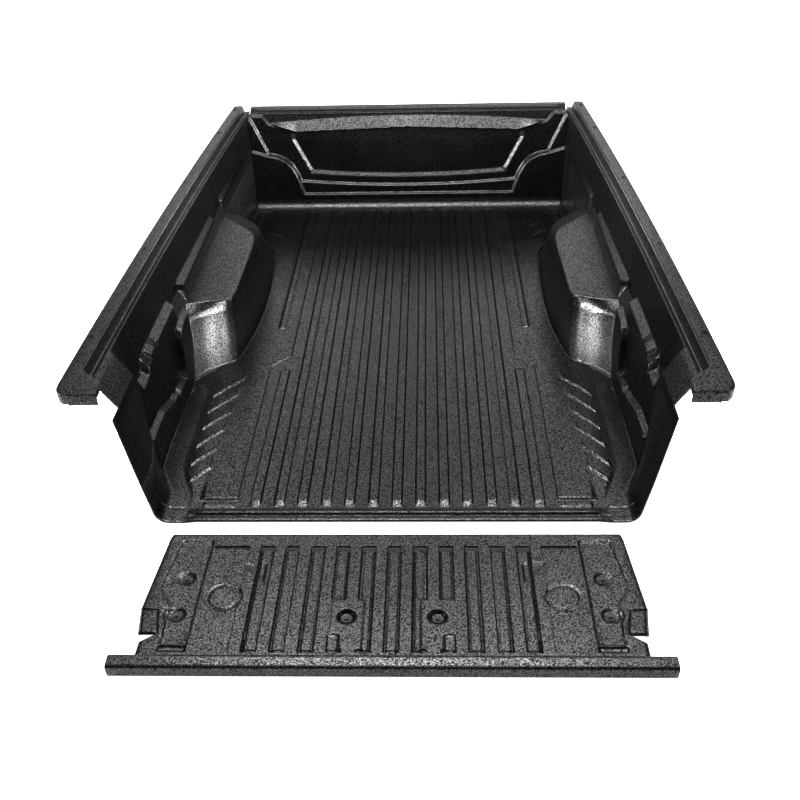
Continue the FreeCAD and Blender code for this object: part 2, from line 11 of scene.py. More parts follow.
import bpy
import numpy as np
from mathutils import Matrix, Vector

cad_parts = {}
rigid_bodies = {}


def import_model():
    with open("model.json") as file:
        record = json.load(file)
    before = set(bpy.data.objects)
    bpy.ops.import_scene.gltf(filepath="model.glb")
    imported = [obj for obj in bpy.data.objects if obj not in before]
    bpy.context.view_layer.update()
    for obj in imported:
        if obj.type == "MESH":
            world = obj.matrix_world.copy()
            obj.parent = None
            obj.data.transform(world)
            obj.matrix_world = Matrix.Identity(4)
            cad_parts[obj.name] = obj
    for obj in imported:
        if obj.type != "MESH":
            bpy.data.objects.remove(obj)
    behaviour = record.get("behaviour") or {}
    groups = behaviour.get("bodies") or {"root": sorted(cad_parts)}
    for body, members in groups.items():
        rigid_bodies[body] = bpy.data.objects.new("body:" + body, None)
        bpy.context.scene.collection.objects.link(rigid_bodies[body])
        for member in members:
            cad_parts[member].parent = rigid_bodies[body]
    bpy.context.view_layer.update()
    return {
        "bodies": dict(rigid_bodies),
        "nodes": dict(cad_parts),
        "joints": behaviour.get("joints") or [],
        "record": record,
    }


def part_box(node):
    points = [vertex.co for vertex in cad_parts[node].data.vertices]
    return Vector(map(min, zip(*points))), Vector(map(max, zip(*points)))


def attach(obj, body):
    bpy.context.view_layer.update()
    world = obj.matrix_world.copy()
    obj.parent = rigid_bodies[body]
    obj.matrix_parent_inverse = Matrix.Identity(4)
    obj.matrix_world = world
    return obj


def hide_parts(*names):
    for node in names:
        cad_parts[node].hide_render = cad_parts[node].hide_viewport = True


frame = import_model()

# sizes read from the frame
MM = 0.001
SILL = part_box("rear_lip")[0].y / MM
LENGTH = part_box("floor_panel")[1].y / MM - SILL
RAIL_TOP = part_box("front_rail_cap")[1].z / MM
RAIL_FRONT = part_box("front_rail_cap")[1].y / MM - SILL - 0.5
RAIL_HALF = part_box("right_rail_cap")[1].x / MM - 0.3
FRONT_RAIL_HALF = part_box("front_rail_cap")[1].x / MM

# the moulded sheet, rails, shelf and posts
SHEET = 4.0
RAIL_BOW = 62.0
RAIL_LAND = 38.0
RAIL_TOTAL = 72.0
LEDGE = RAIL_TOP - 18.0
SHELF = 304.0
SHELF_NOTCHES_END = 600.0
POST_TOP = 338.0
POST_HEAD = 740.0

# the floor's corrugations
RIB_PITCH = 64.7
RIB_WIDTH = 29.0
RIB_HEIGHT = 6.0

# wheel arch covers and the rounded front corners
ARCH_TOP = 237.0
CORNER = 50.0
CORNER_Y = LENGTH - CORNER

# the tailgate liner
GATE_FAR = 67.0
GATE_TOP = 26.0


# ---------------------------------------------------------------- numbers and curves

def ramp(value, start, end):
    """0 before start, 1 after end, smooth between."""
    t = np.clip((value - start) / (end - start), 0.0, 1.0)
    return t * t * (3.0 - 2.0 * t)


def slope(value, start, end):
    """0 before start, 1 after end, straight between."""
    return np.clip((value - start) / (end - start), 0.0, 1.0)


def strip(value, low, high, soft):
    """1 between low and high, with sides that take soft millimetres to rise."""
    return ramp(value, low, low + soft) * (1.0 - ramp(value, high - soft, high))


def stations(value, pairs, blur=0.0):
    """Reads a value from (place, value) pairs; blur rounds off the bends between them."""
    places, values = np.array(pairs, float).T
    shifts = np.linspace(-blur, blur, 5) if blur else [0.0]
    return sum(np.interp(value + shift, places, values) for shift in shifts) / len(shifts)


def smooth_curve(points, steps):
    """A Catmull-Rom curve through points, with steps samples from each to the next."""
    p = np.array(points, float)
    p = np.vstack([2 * p[0] - p[1], p, 2 * p[-1] - p[-2]])
    t = np.linspace(0.0, 1.0, steps, endpoint=False)[:, None]
    parts = []
    for a, b, c, d in zip(p, p[1:], p[2:], p[3:]):
        parts.append(0.5 * (2 * b + (c - a) * t + (2 * a - 5 * b + 4 * c - d) * t**2
                            + (3 * b - a - 3 * c + d) * t**3))
    return np.vstack(parts + [p[-2][None]])


def lines(start, end, step, edges=(), width=2.0):
    """Grid lines from start to end, with a close pair of lines at each edge."""
    count = max(1, int(round((end - start) / step)))
    marks = list(np.linspace(start, end, count + 1))
    for edge in edges:
        marks += [edge - width, edge, edge + width]
    marks = np.unique(np.clip(marks, start, end))
    kept = [marks[0]]
    for mark in marks[1:]:
        if mark - kept[-1] > 0.45 * width:
            kept.append(mark)
    kept[-1] = end
    return np.array(kept)


# ---------------------------------------------------------------- mesh making

def place(points):
    """Points in millimetres from the sill, in the frame's metres."""
    moved = np.array(points, float)
    moved[..., 1] += SILL
    return moved * MM


def mirrored(points):
    """The same points on the left side."""
    return points * np.array([-1.0, 1.0, 1.0])


SIDES = (("right", lambda points: points), ("left", mirrored))


def skin(name, grid, body, replaced, material, flip=False, thickness=SHEET):
    """A sheet of moulded plastic from a grid of points; its thickness lies behind the points."""
    rows, columns = grid.shape[:2]
    index = np.arange(rows * columns).reshape(rows, columns)
    corners = [index[:-1, :-1], index[1:, :-1], index[1:, 1:], index[:-1, 1:]]
    quads = np.stack(corners, axis=-1).reshape(-1, 4)
    if flip:
        quads = quads[:, ::-1]
    mesh = bpy.data.meshes.new(name)
    mesh.from_pydata(place(grid).reshape(-1, 3).tolist(), [], quads.tolist())
    mesh.validate()
    mesh.shade_smooth()
    piece = bpy.data.objects.new(name, mesh)
    bpy.context.scene.collection.objects.link(piece)
    wall = piece.modifiers.new("sheet", "SOLIDIFY")
    wall.thickness = thickness * MM
    wall.offset = -1.0
    shading = piece.modifiers.new("flats", "WEIGHTED_NORMAL")
    shading.weight = 70
    mesh.materials.append(material)
    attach(piece, body)
    if replaced:
        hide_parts(*replaced)
    return piece


def rounded_path(guides, radii, steps=5):
    """Rows of points that follow the guide curves in order, with each inner corner rounded."""
    rows = [guides[0]]
    for before, corner, after, radius in zip(guides, guides[1:], guides[2:], radii):
        back, ahead = before - corner, after - corner
        back_length = np.linalg.norm(back, axis=-1, keepdims=True) + 1e-9
        ahead_length = np.linalg.norm(ahead, axis=-1, keepdims=True) + 1e-9
        reach = np.minimum(radius, 0.49 * np.minimum(back_length, ahead_length))
        start = corner + back / back_length * reach
        end = corner + ahead / ahead_length * reach
        for t in np.linspace(0.0, 1.0, steps):
            rows.append((1 - t) ** 2 * start + 2 * t * (1 - t) * corner + t**2 * end)
    rows.append(guides[-1])
    return np.stack(rows)


# ---------------------------------------------------------------- materials

def moulded_plastic(name, tone):
    """Black polyethylene with an orange-peel grain, a patchy sheen and a painted highlight: convex edges
    painted paler.
    """
    material = bpy.data.materials.new(name)
    material.use_nodes = True
    nodes, link = material.node_tree.nodes, material.node_tree.links.new
    shader = nodes["Principled BSDF"]
    place_of = nodes.new("ShaderNodeTexCoord").outputs["Object"]

    def noise(scale, detail, rough=0.5):
        node = nodes.new("ShaderNodeTexNoise")
        node.inputs["Scale"].default_value = scale
        node.inputs["Detail"].default_value = detail
        node.inputs["Roughness"].default_value = rough
        link(place_of, node.inputs["Vector"])
        return node.outputs["Fac"]

    def spread(value, low, high, to_low, to_high):
        node = nodes.new("ShaderNodeMapRange")
        for socket, limit in zip(node.inputs[1:5], (low, high, to_low, to_high)):
            socket.default_value = limit
        link(value, node.inputs["Value"])
        return node.outputs["Result"]

    def total(a, b):
        node = nodes.new("ShaderNodeMath")
        node.operation = "ADD"
        link(a, node.inputs[0])
        link(b, node.inputs[1])
        return node.outputs[0]

    pebbles = nodes.new("ShaderNodeTexVoronoi")
    pebbles.feature = "SMOOTH_F1"
    pebbles.inputs["Scale"].default_value = 300.0
    link(place_of, pebbles.inputs["Vector"])
    fine = noise(260.0, 2.0, 0.6)
    broad = noise(9.0, 3.0)
    domes = spread(pebbles.outputs["Distance"], 0.1, 0.7, 0.6, 0.0)
    crests = total(domes, spread(fine, 0.3, 0.7, 0.0, 0.4))

    bump = nodes.new("ShaderNodeBump")
    bump.inputs["Strength"].default_value = 0.3
    bump.inputs["Distance"].default_value = 0.0010
    link(crests, bump.inputs["Height"])
    link(bump.outputs["Normal"], shader.inputs["Normal"])
    link(spread(crests, 0.3, 0.75, 0.1, 1.0), shader.inputs["Specular IOR Level"])
    sheen = spread(crests, 0.3, 0.75, 0.40, 0.27)
    link(total(spread(broad, 0.3, 0.7, 0.0, 0.06), sheen), shader.inputs["Roughness"])

    # Painted highlight: convex edges, found by pointiness, are painted up to 2.4 times paler than the flat
    # tone.
    painted_edge_highlight = nodes.new("ShaderNodeValToRGB")
    painted_edge_highlight.color_ramp.elements[0].position = 0.50
    painted_edge_highlight.color_ramp.elements[0].color = (tone, tone, tone * 1.04, 1.0)
    painted_edge_highlight.color_ramp.elements[1].position = 0.62
    painted_edge_highlight.color_ramp.elements[1].color = (tone * 2.4, tone * 2.4, tone * 2.45, 1.0)
    link(nodes.new("ShaderNodeNewGeometry").outputs["Pointiness"], painted_edge_highlight.inputs["Fac"])
    cloud = nodes.new("ShaderNodeMix")
    cloud.data_type = "RGBA"
    cloud.blend_type = "MULTIPLY"
    cloud.inputs["Factor"].default_value = 1.0
    link(painted_edge_highlight.outputs["Color"], cloud.inputs["A"])
    link(spread(broad, 0.3, 0.7, 0.8, 1.15), cloud.inputs["B"])
    link(cloud.outputs["Result"], shader.inputs["Base Color"])
    return material


def coated_steel(name, tone, rough, metallic):
    """Steel with a coat, fine scratches and a slightly uneven shine."""
    material = bpy.data.materials.new(name)
    material.use_nodes = True
    nodes, link = material.node_tree.nodes, material.node_tree.links.new
    shader = nodes["Principled BSDF"]
    shader.inputs["Metallic"].default_value = metallic
    where = nodes.new("ShaderNodeTexCoord").outputs["Object"]
    scratches = nodes.new("ShaderNodeTexNoise")
    scratches.inputs["Scale"].default_value = 1500.0
    scratches.inputs["Detail"].default_value = 4.0
    link(where, scratches.inputs["Vector"])
    colour = nodes.new("ShaderNodeValToRGB")
    colour.color_ramp.elements[0].color = (tone * 0.7, tone * 0.7, tone * 0.72, 1.0)
    colour.color_ramp.elements[1].color = (tone * 1.2, tone * 1.2, tone * 1.24, 1.0)
    link(scratches.outputs["Fac"], colour.inputs["Fac"])
    link(colour.outputs["Color"], shader.inputs["Base Color"])
    gloss = nodes.new("ShaderNodeMapRange")
    gloss.inputs["To Min"].default_value = rough * 0.7
    gloss.inputs["To Max"].default_value = rough * 1.3
    link(scratches.outputs["Fac"], gloss.inputs["Value"])
    link(gloss.outputs["Result"], shader.inputs["Roughness"])
    bump = nodes.new("ShaderNodeBump")
    bump.inputs["Strength"].default_value = 0.2
    bump.inputs["Distance"].default_value = 0.0002
    link(scratches.outputs["Fac"], bump.inputs["Height"])
    link(bump.outputs["Normal"], shader.inputs["Normal"])
    return material


def cell_foam(name):
    """Closed-cell foam: matt dark grey with fine open cells on its cut faces."""
    material = bpy.data.materials.new(name)
    material.use_nodes = True
    nodes, link = material.node_tree.nodes, material.node_tree.links.new
    shader = nodes["Principled BSDF"]
    shader.inputs["Specular IOR Level"].default_value = 0.2
    where = nodes.new("ShaderNodeTexCoord").outputs["Object"]
    cells = nodes.new("ShaderNodeTexVoronoi")
    cells.inputs["Scale"].default_value = 700.0
    link(where, cells.inputs["Vector"])
    colour = nodes.new("ShaderNodeValToRGB")
    colour.color_ramp.elements[0].color = (0.018, 0.018, 0.02, 1.0)
    colour.color_ramp.elements[1].color = (0.06, 0.06, 0.065, 1.0)
    link(cells.outputs["Distance"], colour.inputs["Fac"])
    link(colour.outputs["Color"], shader.inputs["Base Color"])
    rough = nodes.new("ShaderNodeMapRange")
    rough.inputs["To Min"].default_value = 0.8
    rough.inputs["To Max"].default_value = 0.95
    link(cells.outputs["Distance"], rough.inputs["Value"])
    link(rough.outputs["Result"], shader.inputs["Roughness"])
    bump = nodes.new("ShaderNodeBump")
    bump.inputs["Strength"].default_value = 0.6
    bump.inputs["Distance"].default_value = 0.0006
    link(cells.outputs["Distance"], bump.inputs["Height"])
    link(bump.outputs["Normal"], shader.inputs["Normal"])
    return material


# ---------------------------------------------------------------- side walls

def rail_line(y):
    """Half width of the bowed outer edge of the side rails."""
    return RAIL_HALF - RAIL_BOW * (y / RAIL_FRONT) ** 2


def foot_x(y):
    """Half width of the tub where the side wall would meet the floor."""
    return stations(y, [(0, 622), (105, 620), (170, 652), (240, 685), (361, 686), (640, 682), (1500, 684),
                        (1830, 684), (CORNER_Y, 686)], 14)


def foot_radius(y):
    """Reach of the fillet between the side wall and the floor."""
    away = 1.0 - ramp(y, 640, 700) * (1.0 - ramp(y, 1830, 1900))
    return stations(y, [(0, 44), (110, 46), (240, 58), (1900, 50), (CORNER_Y, 40)], 10) * away


def arch_line(y):
    """Height at which the wheel arch cover's silhouette meets the side wall."""
    return stations(y, [(698, SHEET), (804, ARCH_TOP), (1512, ARCH_TOP), (1832, SHEET)])


def shelf_base(y):
    """Half width of the wall just below the shoulder shelf."""
    return stations(y, [(0, 698), (245, 701), (1520, 700), (1802, 697), (CORNER_Y, 688)])


def shelf_outer(y):
    """Half width at the outer edge of the shoulder shelf."""
    return stations(y, [(0, 727), (690, 727), (1336, 714), (1527, 714), (1802, 699), (CORNER_Y, 690)])


def shelf_inner(y):
    """Half width at the inner edge of the shelf, which has two notches and closes up in two places."""
    edge = shelf_base(y) + 9 * strip(y, 428, 464, 3) + 17 * strip(y, 346, 388, 3)
    closed = strip(y, 676, 824, 14) + strip(y, 1334, 1524, 18)
    return edge + (shelf_outer(y) - 1 - edge) * closed


def shelf_height(y):
    """Height of the shoulder shelf; behind the last notch it steps down and then climbs to the post."""
    return stations(y, [(0, POST_TOP), (128, POST_TOP), (214, 336), (246, 294), (276, 256), (344, 262),
                        (348, 300), (386, 300), (390, SHELF), (CORNER_Y, SHELF)], 3)


def low_ledge_height(y):
    """Height of the low ledge behind the wheel arch cover, which rises beside the arch."""
    return stations(y, [(0, 124), (215, 124), (356, 120), (469, 84), (510, 80), (516, 66), (540, 66),
                        (545, 72), (628, 68), (634, 214), (654, 229), (700, 240)], 3)


def low_ledge_depth(y):
    """How far the wall below the low ledge stands in."""
    return 20 * strip(y, 214, 760, 8)


def side_wall_guides(y):
    """Guide curves of the right wall, from the rail's ledge down to the floor.

    Beside the post a gusset lifts the shelf's outer edge to the rail. Below the shelf the wall leans in
    along a power curve, stands in below the low ledge, and ends on the arch cover or in the floor's fillet.
    """
    gusset = 1.0 - ramp(y, 206, 244)
    base = arch_line(y)
    foot = foot_x(y)
    lean = 0.62
    inner = shelf_inner(y)
    inner_z = np.maximum(shelf_height(y), base + 8)
    ledge_z = np.maximum(low_ledge_height(y), base + 3)
    depth = low_ledge_depth(y)
    share = ((ledge_z - SHEET) / (inner_z - SHEET)) ** lean
    ledge_x = foot + depth + (shelf_base(y) - foot - depth) * share
    drop = np.clip(24 / np.maximum(inner_z - ledge_z, 1), 0.02, 0.6)
    under_x = shelf_base(y) + (ledge_x - shelf_base(y)) * drop
    under_x += np.where(y > SHELF_NOTCHES_END, inner - shelf_base(y), 0)
    tilt = 8 * (1 - gusset)
    under_z = inner_z + (ledge_z - inner_z) * drop
    base_x = np.where(base > SHEET + 0.5, ledge_x - depth, foot)
    middle_z = SHEET + 0.14 * (ledge_z - SHEET)
    middle_x = foot + (ledge_x - depth - foot) * 0.14 ** (lean * 0.6)
    on_arch = base > middle_z - 4
    middle_z = np.where(on_arch, base + 1.5, middle_z)
    middle_x = np.where(on_arch, base_x, middle_x)
    outer_x = shelf_outer(y) + (POST_HEAD - shelf_outer(y)) * gusset
    outer_z = shelf_height(y) + (LEDGE - 16 - shelf_height(y)) * gusset
    return [
        np.stack([rail_line(y) - RAIL_TOTAL + 12, y, np.full_like(y, LEDGE - 6)], -1),
        np.stack([rail_line(y) - RAIL_TOTAL, y, np.full_like(y, LEDGE - 6)], -1),
        np.stack([outer_x, y, outer_z + tilt], -1),
        np.stack([inner, y, inner_z - tilt], -1),
        np.stack([under_x, y, under_z], -1),
        np.stack([ledge_x, y, ledge_z + 0.25 * depth], -1),
        np.stack([ledge_x - depth, y, ledge_z - 0.3 * depth], -1),
        np.stack([middle_x, y, middle_z], -1),
        np.stack([base_x, y, np.maximum(base, SHEET)], -1),
        np.stack([base_x - np.maximum(foot_radius(y), 0.6), y, np.maximum(base, SHEET) + 0.2], -1),
    ]


def corner_reach(z):
    """Reach of the rounded front corner, wide at the floor and tight above."""
    return stations(z, [(0, CORNER), (30, 46), (130, 20), (LEDGE, 16)])


def front_plane(z):
    """Distance forward of the front wall's plane."""
    return stations(z, [(SHEET, LENGTH), (300, LENGTH + 4), (LEDGE, LENGTH + 11)])


def turned_corner(guides, steps=14):
    """Each guide carried from the side wall's end round the front corner to the front wall."""
    angle = np.linspace(0.0, math.pi / 2, steps)[1:]
    turned = []
    for guide in guides:
        x, y, z = guide[-1]
        across = corner_reach(z)
        along = front_plane(z) - y
        arc = np.stack([x - across + across * np.cos(angle), y + along * np.sin(angle),
                        np.full_like(angle, z)], -1)
        turned.append(np.vstack([guide, arc]))
    return turned


def build_side_walls(plastic):
    """Each wall in two skins: the rear post below its cap, and the rest from there to the front wall."""
    radii = [3, 4, 3, 3, 3, 3, 14, 60]
    post_end = 56
    post_bends = (214, 222, 245, 276)
    notch_bends = (346, 386, 430, 462)
    ledge_bends = (512, 542, 631)
    arch_bends = (679, 688, 812, 822, 1338, 1348, 1512, 1520)
    y = lines(post_end, CORNER_Y, 9, post_bends + notch_bends + ledge_bends + arch_bends, 3)
    wall = rounded_path(turned_corner(side_wall_guides(y)), radii)
    y = lines(0, post_end, 8)
    post = rounded_path(side_wall_guides(y)[3:], radii[3:])
    for side, turn in SIDES:
        is_right = side == "right"
        panels = ("lower_wall", "shoulder", "upper_wall", "front_corner", "post_cap")
        skin(side + "_wall_skin", turn(wall), "tub", [side + "_" + panel for panel in panels],
             plastic, flip=is_right)
        skin(side + "_post_skin", turn(post), "tub", [side + "_rear_post"],
             plastic, flip=is_right)


# ---------------------------------------------------------------- wheel arch covers

# plan outlines of the cover's foot and crown, as (half width, y) points of smooth curves
ARCH_FOOT = [
    (716, 696), (690, 712), (650, 762), (604, 797), (570, 824), (551, 880),
    (524, 1080), (520, 1350), (542, 1620), (600, 1730), (716, 1836),
]
ARCH_CROWN = [
    (716, 802), (684, 806), (640, 814), (596, 826), (566, 842), (550, 876),
    (549, 1080), (550, 1270), (572, 1350), (640, 1432), (716, 1516),
]
ARCH_WALL = 718.0


def outwards(curve, reach):
    """A plan curve moved away from the side wall by reach."""
    along = np.gradient(curve, axis=0)
    along /= np.linalg.norm(along, axis=1, keepdims=True)
    return curve + np.stack([-along[:, 1], along[:, 0]], -1) * reach


def level(curve, height):
    """A plan curve as points at one height."""
    return np.column_stack([curve, np.full(len(curve), float(height))])


def arch_skirt():
    """Plan line where the arch cover's bottom fillet runs out on the floor."""
    return outwards(smooth_curve(ARCH_FOOT, 9), 14)


def build_arch_covers(plastic):
    """Covers that rise from a wide fillet, with a chamfer below the flat top."""
    foot = smooth_curve(ARCH_FOOT, 9)
    crown = smooth_curve(ARCH_CROWN, 9)
    wall_line = np.column_stack([np.full(len(crown), ARCH_WALL), np.clip(crown[:, 1], 806, 1512)])
    guides = [
        level(arch_skirt(), SHEET + 0.2),
        level(foot, SHEET + 0.2),
        level(crown + (foot - crown) * 0.42, ARCH_TOP - 30),
        level(crown + (foot - crown) * 0.03, ARCH_TOP - 1),
        level(crown + (wall_line - crown) * 0.12, ARCH_TOP),
        level(wall_line, ARCH_TOP),
    ]
    grid = rounded_path(guides, [16, 16, 7, 8])
    for side, turn in SIDES:
        skin(side + "_arch_skin", turn(grid), "tub", [side + "_arch_cover"], plastic,
             flip=side == "left")


# ---------------------------------------------------------------- floor

FLOOR_INNER = 470.0
SIDE_FIELD = 440.0
FRONT_FIELD = 379.0
JOG_REAR = 778.0
JOG_FRONT = 847.0
RIBS_REAR = 56.0
RIBS_FRONT = 2104.0
FLOOR_FRONT = 2150.0
SILL_END = 58.0
LOUVRE_OUTER = 603.0
SLOT_OUTER = 604.0


def hooked_ridges(a, y):
    """Six slanting louvres behind each arch cover, each with a low hook along its inner end."""
    height = np.zeros_like(a)
    for number in range(6):
        start_y = 149 + 88.5 * number
        run = 66 + 4 * number
        rise = 80 + 5 * number
        share = (LOUVRE_OUTER - a) / run
        beyond = y - (start_y + share * rise)
        ridge = ramp(beyond, 0, 3) * (1 - ramp(beyond, 7, 12)) * strip(share * run, -3, run, 4)
        hook = strip(share * run, run - 5, run + 1, 3) * strip(beyond, 0, 44, 4)
        height = np.maximum(height, 6.0 * ridge)
        height = np.maximum(height, 2.5 * hook)
    return height


def front_slots(a, y):
    """Four short slanting grooves beside each front corner."""
    depth = np.zeros_like(a)
    run = 82
    for start_y in (2064, 1976, 1880, 1798):
        share = (SLOT_OUTER - a) / run
        beyond = y - (start_y - share * run)
        depth = np.maximum(depth, strip(beyond, -7, 7, 5) * strip(share, 0, 1, 0.06))
    return 4.0 * depth


def corrugations(x, y):
    """1 on the thirteen floor ribs, which have rounded rear ends; the outermost two are short."""
    raised = np.zeros_like(x)
    for number in range(-6, 7):
        across = (x - number * RIB_PITCH) / (RIB_WIDTH / 2)
        front = RIBS_FRONT if abs(number) < 6 else JOG_REAR - 16
        nose = RIBS_REAR + 12 * (1 - np.sqrt(np.clip(1 - across**2, 0, 1)))
        sides = 1 - ramp(np.abs(across), 0.86, 1.06)
        rib = sides * ramp(y, nose, nose + 30) * (1 - ramp(y, front - 6, front))
        raised = np.maximum(raised, rib)
    return raised


def side_fields(a, y):
    """The raised floor beside the ribs, wider ahead of its jog, and the low pads by the sill."""
    inner = stations(y, [(0, SIDE_FIELD), (JOG_REAR, SIDE_FIELD), (JOG_FRONT, FRONT_FIELD),
                         (RIBS_FRONT, FRONT_FIELD)])
    corner = ramp(a, 531, 548)
    rear = ramp(y, 88, 94) * (1 - corner) + ramp(y, 40, 240) * corner
    field = ramp(a, inner - 2, inner + 3) * rear * (1 - ramp(y, RIBS_FRONT - 10, RIBS_FRONT + 16))
    field *= 1 - ramp(a, 570, 630)
    pads = 0.6 * strip(a, 447, 531, 3) * strip(y, 57, 84, 3)
    return field, pads


def floor_height(x, y):
    """Height of the floor's top face, which runs out level at the fillet to the side walls."""
    a = np.abs(x)
    field, pads = side_fields(a, y)
    raised = np.maximum(np.maximum(corrugations(x, y), field), pads)
    height = SHEET + RIB_HEIGHT * raised
    height += 4 * strip(a, 419, 444, 4) * ramp(y, 1024, 1034) * (1 - ramp(y, 2060, 2090))
    height = np.maximum(height - front_slots(a, y), SHEET) + hooked_ridges(a, y)
    fillet = foot_x(y) - foot_radius(y)
    sill = stations(y, [(0, 4.2), (3, 7.5), (8, 9), (17, 8.4), (22, 4.1), (27, 4.1), (33, 11), (42, 9),
                        (SILL_END - 1, SHEET)])
    beads = SHEET + (sill - SHEET) * (1 - ramp(a, fillet - 50, fillet))
    height = np.where(y < SILL_END, beads, height)
    return SHEET + (height - SHEET) * (1 - ramp(a, fillet - 14, fillet))


def build_floor(plastic):
    """One grid whose outer columns follow the wall fillets and the arch covers."""
    rib_edges = [n * RIB_PITCH + s * RIB_WIDTH / 2 for n in range(-6, 7) for s in (-1, 1)]
    field_edges = [-SIDE_FIELD, SIDE_FIELD, -FRONT_FIELD, FRONT_FIELD, -421, 421]
    inner = lines(-FLOOR_INNER, FLOOR_INNER, 10, rib_edges + field_edges, 1.8)
    sill_beads = [3, 20, 25, 30, 35, 57, 84, 91]
    y = lines(0, FLOOR_FRONT, 11, sill_beads + [JOG_REAR - 16, 1030, RIBS_FRONT], 3)
    fine = np.concatenate([np.arange(140, 700, 4.5), np.arange(JOG_REAR - 4, JOG_FRONT + 8, 4.5),
                           np.arange(1700, 2080, 6.0)])
    y = np.unique(np.round(np.concatenate([y, fine]), 1))
    y = y[np.concatenate([[True], np.diff(y) > 1.2])]
    skirt = arch_skirt()
    order = np.argsort(skirt[:, 1])
    wall_edge = foot_x(y) - foot_radius(y)
    no_arch = 900.0
    arch_edge = np.interp(y, skirt[order, 1], skirt[order, 0], left=no_arch, right=no_arch)
    edge = np.minimum(wall_edge, arch_edge) + 4
    share = np.linspace(0.0, 1.0, 46)[1:]
    outer = FLOOR_INNER + share[None, :] * (edge[:, None] - FLOOR_INNER)
    x = np.hstack([-outer[:, ::-1], np.repeat(inner[None, :], len(y), 0), outer])
    yy = np.repeat(y[:, None], x.shape[1], 1)
    grid = np.stack([x, yy, floor_height(x, yy)], -1)
    skin("floor_skin", grid, "tub", ["floor_panel", "rear_lip"], plastic, flip=True)


# ---------------------------------------------------------------- front wall

# falling lines on the front wall, as (half width, height) points
WING = [(708, 276), (617, 248), (575, 240), (538, 222), (512, 196), (490, 158), (460, 67), (452, 40)]
RIDGE = [(681, 406), (612, 252)]
LOW_LEDGE = 71
BROW_HALF = 606

# how far each stands in from the wall's plane
BROW_DEPTH = 30
FRAME_DEPTH = 12
LEDGE_DEPTH = 25
WING_DEPTH = 38


def below_curve(a, z, curve, soft):
    """1 on the lower, outer side of a falling line given as (half width, height) points."""
    points = sorted(curve)
    places, heights = np.array(points, float).T
    line = np.interp(a, places, heights)
    fall = np.gradient(heights, places)
    steep = np.sqrt(1 + np.interp(a, places, fall) ** 2)
    inside = (line - z) / steep
    return slope(inside, -soft / 2, soft / 2) * slope(a, places[0] - soft / 2, places[0] + soft / 2)


def framed_panel(a, z, frame_top):
    """Depth of the broad frame below the brow, with the recessed panel taken out of it."""
    frame = slope(frame_top - z, 0, 4)
    panel_side = stations(z, [(168, 423), (308, 494)])
    panel_low = 168 - 19 * np.clip(1 - (a / 423) ** 2, 0, 1)
    inside = np.minimum(slope(panel_side - a, -16, 2), slope(z - panel_low, -16, 2))
    return FRAME_DEPTH * frame - FRAME_DEPTH * inside * frame


def brow(a, z, frame_top):
    """Depth of the brow, a bow-shaped slope that stands out most along its lower edge."""
    top = 377 + 30 * np.clip(1 - (a / 600) ** 2, 0, 1)
    low = frame_top + 1
    climb = np.clip((top - z) / np.maximum(top - low, 1), 0, 1) * (a < BROW_HALF)
    return BROW_DEPTH * (climb * (z > low - 1) * np.clip((BROW_HALF - a) / 100, 0, 1) ** 0.5)


def relief(x, z):
    """How far the front wall stands in from its plane: brow, panel, ledges, ridges and side wings."""
    a = np.abs(x)
    frame_top = stations(a, [(0, 361), (486, 344), (BROW_HALF, 377), (640, 424)])
    depth = np.maximum(framed_panel(a, z, frame_top), brow(a, z, frame_top))
    upper = 105 + 21 * (a / 466) ** 2
    depth = np.maximum(depth, LEDGE_DEPTH * slope(upper - z, -6, 7) * slope(479 - a, -10, 0))
    depth = np.maximum(depth, WING_DEPTH * slope(LOW_LEDGE - z, -6, 7))
    depth = np.maximum(depth, LEDGE_DEPTH * below_curve(a, z, RIDGE, 13))
    depth = np.maximum(depth, WING_DEPTH * below_curve(a, z, WING, 15))
    return depth * (1 - slope(z, LEDGE - 12, LEDGE - 4))


def build_front_wall(plastic):
    """The wall's relief down to the floor, which it meets in a wide fillet."""
    fillet_height = 40
    fillet_reach = 44
    share = np.linspace(-1.0, 1.0, 380)
    z = lines(SHEET + fillet_height, LEDGE, 2.6)[::-1]
    half = stations(z, [(SHEET, 685), (304, 687), (LEDGE, 695)])
    xx = half[:, None] * share[None, :]
    zz = np.repeat(z[:, None], len(share), 1)
    wall = np.stack([xx, front_plane(zz) - relief(xx, zz), zz], -1)
    x = wall[-1, :, 0]
    foot_y = wall[-1, :, 1]
    turn = np.linspace(0.0, math.pi / 2, 10)[1:, None]
    fillet_z = SHEET + 0.2 + fillet_height * (1 - np.sin(turn))
    fillet_y = foot_y - fillet_reach * (1 - np.cos(turn))
    fillet = np.stack(np.broadcast_arrays(x, fillet_y, fillet_z), -1)
    grid = np.concatenate([wall, fillet])
    skin("front_wall_skin", grid, "tub", ["front_panel"], plastic, flip=False)


# ---------------------------------------------------------------- rails

RAIL_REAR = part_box("right_rail_cap")[0].y / MM - SILL
RAIL_SKIRT = 30.0


